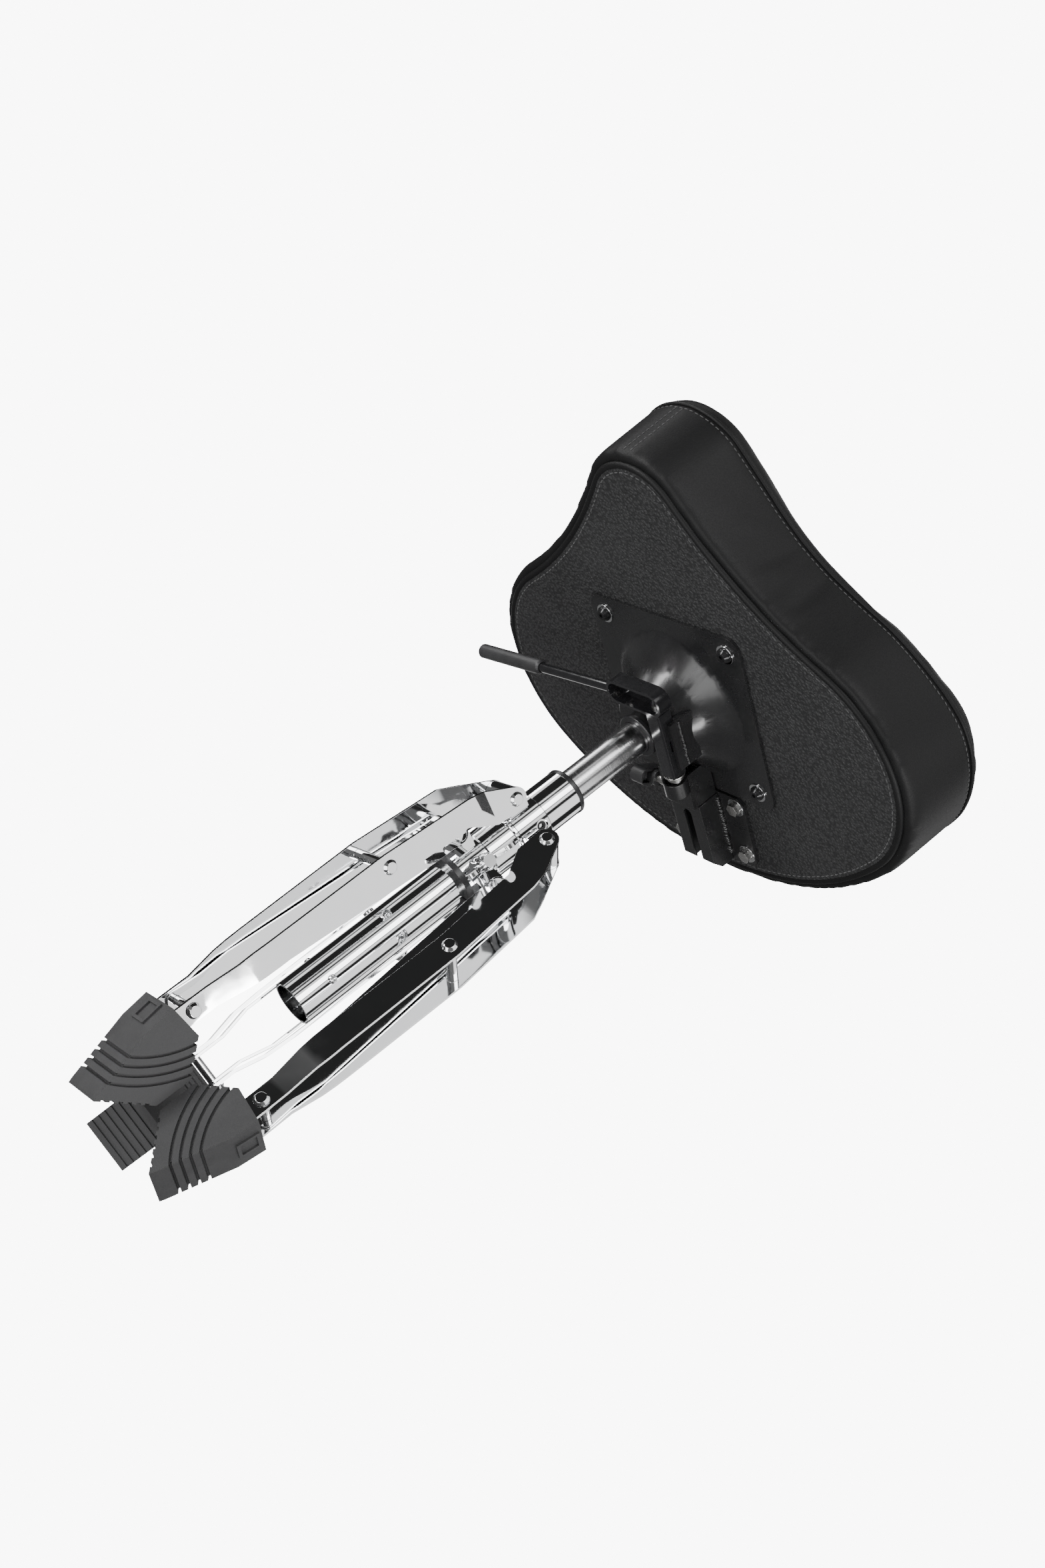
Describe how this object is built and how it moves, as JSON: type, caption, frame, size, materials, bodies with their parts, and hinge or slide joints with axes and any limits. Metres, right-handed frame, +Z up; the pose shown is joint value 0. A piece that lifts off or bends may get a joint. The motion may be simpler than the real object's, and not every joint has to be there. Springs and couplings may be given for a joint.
{
  "type": "drum throne",
  "caption": "Gas-lift drum throne with a saddle-shaped padded seat, backrest receiver, side release lever and a folding double-braced chrome tripod on rubber feet.",
  "frame": {"origin": "on the floor under the middle of the seat; the column axis stands 22 mm behind it, at y = -0.022", "axes": "+Z up the column from the feet to the seat, +Y to the nose of the seat, +X to the drummer's right where the release lever is"},
  "size_m": [0.458, 0.4119, 0.66],
  "materials": {
    "chrome_tube": "mirror",
    "satin_chrome": "satin",
    "black_steel": "satin",
    "black_gloss": "gloss",
    "rubber": "matt",
    "nylon": "matt",
    "grip": "satin",
    "vinyl_panel": "pebbled",
    "plywood": "raw",
    "zinc": "zinc plated",
    "black_screw": "satin",
    "steel": "ground",
    "cushion": "satin"
  },
  "bodies": {
    "base": {"lower_tube": "chrome_tube", "upper_tube": "chrome_tube", "shaft_bush": "nylon", "rod_holder": "steel", "thrust_washer": "steel", "tube_end_screws": "chrome_tube", "leg_hub": "chrome_tube", "hub_set_screw": "black_screw", "hub_skirt": "chrome_tube", "leg_pivot_rivets": "chrome_tube"},
    "swivel": {"piston_rod": "steel"},
    "seat": {"gas_shaft": "satin_chrome", "seat_plate": "black_steel", "seat_hub": "black_steel", "hub_ring": "nylon", "plate_screws": "black_screw", "seat_washers": "chrome_tube", "seat_panel": "vinyl_panel", "seat_board": "plywood", "tee_nuts": "zinc", "seat_cushion": "cushion", "release_barrel": "black_gloss", "barrel_block": "black_steel", "receiver_base": "black_steel", "receiver_screws": "zinc", "receiver_channel": "black_steel", "receiver_bridge": "black_steel", "receiver_cup": "black_steel"},
    "lever": {"release_shaft": "steel", "shaft_nut": "zinc", "release_arm": "black_gloss", "arm_rivets": "zinc", "lever_rod": "black_gloss", "lever_grip": "grip"},
    "valve": {"valve_pin": "steel"},
    "knob": {"knob_screw": "zinc", "receiver_knob": "grip"},
    "collar": {"lower_collar": "chrome_tube", "collar_bush": "nylon"},
    "wing": {"wing_bolt": "chrome_tube"},
    "leg_1": {"leg_1_straps": "chrome_tube", "leg_1_spacer": "chrome_tube", "leg_1_foot_rivet": "chrome_tube", "leg_1_boot": "rubber"},
    "brace_1": {"brace_1_straps": "chrome_tube", "brace_1_rivet_heads": "chrome_tube"},
    "leg_2": {"leg_2_straps": "chrome_tube", "leg_2_spacer": "chrome_tube", "leg_2_foot_rivet": "chrome_tube", "leg_2_boot": "rubber"},
    "brace_2": {"brace_2_straps": "chrome_tube", "brace_2_rivet_heads": "chrome_tube"},
    "leg_3": {"leg_3_straps": "chrome_tube", "leg_3_spacer": "chrome_tube", "leg_3_foot_rivet": "chrome_tube", "leg_3_boot": "rubber"},
    "brace_3": {"brace_3_straps": "chrome_tube", "brace_3_rivet_heads": "chrome_tube"}
  },
  "joints": [
    {"name": "seat_swivel", "type": "hinge", "parent": "base", "child": "swivel", "pos_m": [0, -0.022, 0.19], "axis": [0, 0, 1], "continuous": true},
    {"name": "seat_lift", "type": "slide", "parent": "swivel", "child": "seat", "axis": [0, 0, 1], "range_m": [-0.065, 0]},
    {"name": "lever_press", "type": "hinge", "parent": "seat", "child": "lever", "pos_m": [-0.029, -0.022, 0.521], "axis": [0, 1, 0], "range_deg": [0, 8], "stiffness_Nm_per_rad": 8, "springref_deg": -2.86},
    {"name": "valve_travel", "type": "slide", "parent": "seat", "child": "valve", "axis": [0, 0, -1], "range_m": [0, 0.0047]},
    {"name": "knob_turn", "type": "hinge", "parent": "seat", "child": "knob", "pos_m": [0.02, -0.098, 0.547], "axis": [1, 0, 0], "range_deg": [0, 360]},
    {"name": "leg_1_spread", "type": "hinge", "parent": "base", "child": "leg_1", "pos_m": [-0.02894, -0.03311, 0.3845], "axis": [-0.3584, 0.9336, 0], "range_deg": [0, 46]},
    {"name": "brace_1_swing", "type": "hinge", "parent": "leg_1", "child": "brace_1", "pos_m": [-0.04948, -0.04099, 0.09], "axis": [-0.3584, 0.9336, 0], "range_deg": [0, 18.03]},
    {"name": "leg_2_spread", "type": "hinge", "parent": "base", "child": "leg_2", "pos_m": [0.00485, 0.00862, 0.3845], "axis": [0.9877, -0.1564, 0], "range_deg": [0, 46]},
    {"name": "brace_2_swing", "type": "hinge", "parent": "leg_2", "child": "brace_2", "pos_m": [0.00829, 0.03035, 0.09], "axis": [0.9877, -0.1564, 0], "range_deg": [0, 18.03]},
    {"name": "leg_3_spread", "type": "hinge", "parent": "base", "child": "leg_3", "pos_m": [0.02409, -0.04151, 0.3845], "axis": [-0.6293, -0.7771, 0], "range_deg": [0, 46]},
    {"name": "brace_3_swing", "type": "hinge", "parent": "leg_3", "child": "brace_3", "pos_m": [0.04119, -0.05535, 0.09], "axis": [-0.6293, -0.7771, 0], "range_deg": [0, 18.03]},
    {"name": "collar_slide", "type": "slide", "parent": "base", "child": "collar", "axis": [0, 0, -1], "range_m": [0, 0.04312]},
    {"name": "wing_turn", "type": "hinge", "parent": "collar", "child": "wing", "pos_m": [-0.02516, -0.00566, 0.329], "axis": [-0.8387, 0.5446, 0], "range_deg": [0, 360]}
  ],
  "couplings": [
    {"joint": "valve_travel", "follows": "lever_press", "m_per_rad": 0.032945},
    {"joint": "brace_1_swing", "follows": "leg_1_spread", "ratio": 0.39176},
    {"joint": "leg_2_spread", "follows": "leg_1_spread", "ratio": 1},
    {"joint": "brace_2_swing", "follows": "leg_1_spread", "ratio": 0.39176},
    {"joint": "leg_3_spread", "follows": "leg_1_spread", "ratio": 1},
    {"joint": "brace_3_swing", "follows": "leg_1_spread", "ratio": 0.39176},
    {"joint": "collar_slide", "follows": "leg_1_spread", "m_per_rad": 0.053697}
  ]
}
